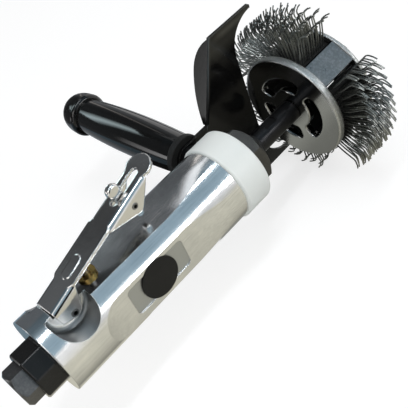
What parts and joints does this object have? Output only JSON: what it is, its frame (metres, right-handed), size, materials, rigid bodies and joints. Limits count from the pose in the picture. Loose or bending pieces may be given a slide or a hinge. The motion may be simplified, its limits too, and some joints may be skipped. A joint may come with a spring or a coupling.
{
  "type": "undercoat remover tool",
  "caption": "Air-driven hand tool that spins a wheel of bent wire bristles to strip underbody coating, with a locking throttle lever, side handle and guard",
  "frame": {"origin": "centre of the air inlet's mouth", "axes": "+X along the tool from the air inlet to the bristle wheel, +Z towards the throttle lever, +Y towards the side handle"},
  "size_m": [0.245, 0.1998, 0.1082],
  "materials": {
    "cast_alloy": "polished die casting",
    "gunmetal": "dark plated steel",
    "black_gloss": "black gloss coat",
    "black_moulding": "smooth black moulding",
    "badge_black": "plain black disc",
    "brass": "turned brass",
    "chrome": "bright chromed sheet",
    "steel": "machined steel",
    "spring_wire": "drawn wire",
    "phenolic": "phenolic laminate",
    "phosphate": "dark phosphate",
    "seal_rubber": "moulded rubber",
    "white_collar": "satin off-white",
    "black_oxide": "black oxide",
    "hub_alloy": "satin machined alloy",
    "belt": "steel wires in a black rubber band"
  },
  "bodies": {
    "housing": {"motor_housing": "cast_alloy", "inlet_bushing": "gunmetal", "exhaust_collar": "black_gloss", "badge": "badge_black", "valve_bushing": "brass", "valve_spring": "spring_wire", "lever_pin": "steel", "rear_plate": "steel", "liner": "steel", "front_plate": "steel", "ring_gear": "steel", "bearing_rear": "steel", "bearing_front": "steel", "front_nut": "phosphate", "dust_seal": "seal_rubber", "collar_ring": "white_collar", "guard": "black_gloss", "guard_spacer": "steel", "handle_grip": "black_moulding", "handle_washer": "black_moulding", "handle_stud": "steel"},
    "lever": {"lever": "chrome", "lock_pin": "steel", "lock_spring": "spring_wire"},
    "lock": {"lock_lever": "chrome"},
    "valve": {"valve_stem": "steel"},
    "wheel": {"spindle": "black_oxide", "hub_disc": "hub_alloy", "hub_plate": "hub_alloy", "hub_screws": "steel", "hub_nut": "steel", "crossbar_1": "hub_alloy", "crossbar_2": "hub_alloy", "crossbar_3": "hub_alloy", "belt_1": "belt", "belt_2": "belt", "belt_3": "belt"},
    "rotor": {"rotor": "steel", "vanes": "phenolic"},
    "planet_a": {"planet_1": "steel"},
    "planet_b": {"planet_2": "steel"},
    "planet_c": {"planet_3": "steel"}
  },
  "joints": [
    {"name": "lever_press", "type": "hinge", "parent": "housing", "child": "lever", "pos_m": [0.0422, 0, 0.016], "axis": [0, 1, 0], "range_deg": [0, 9], "stiffness_Nm_per_rad": 0.8, "springref_deg": -8.59},
    {"name": "lock_swing", "type": "hinge", "parent": "lever", "child": "lock", "pos_m": [0.09485, 0, 0.03763], "axis": [0, 1, 0], "range_deg": [0, 85]},
    {"name": "valve_slide", "type": "slide", "parent": "housing", "child": "valve", "axis": [0, 0, -1], "range_m": [0, 0.0032], "deforming": ["valve_spring"]},
    {"name": "wheel_spin", "type": "hinge", "parent": "housing", "child": "wheel", "pos_m": [0.2, 0, 0.002], "axis": [1, 0, 0], "continuous": true},
    {"name": "rotor_spin", "type": "hinge", "parent": "housing", "child": "rotor", "pos_m": [0.09, 0, 0.002], "axis": [1, 0, 0], "continuous": true},
    {"name": "planet_a_spin", "type": "hinge", "parent": "wheel", "child": "planet_a", "pos_m": [0.1245, 0, 0.011], "axis": [1, 0, 0], "continuous": true},
    {"name": "planet_b_spin", "type": "hinge", "parent": "wheel", "child": "planet_b", "pos_m": [0.1245, -0.00779, -0.0025], "axis": [1, 0, 0], "continuous": true},
    {"name": "planet_c_spin", "type": "hinge", "parent": "wheel", "child": "planet_c", "pos_m": [0.1245, 0.00779, -0.0025], "axis": [1, 0, 0], "continuous": true}
  ],
  "couplings": [
    {"joint": "lock_swing", "follows": "lever_press", "ratio": 9.444},
    {"joint": "valve_slide", "follows": "lever_press", "m_per_rad": 0.02005},
    {"joint": "rotor_spin", "follows": "wheel_spin", "ratio": 4},
    {"joint": "planet_a_spin", "follows": "wheel_spin", "ratio": -3},
    {"joint": "planet_b_spin", "follows": "wheel_spin", "ratio": -3},
    {"joint": "planet_c_spin", "follows": "wheel_spin", "ratio": -3}
  ]
}
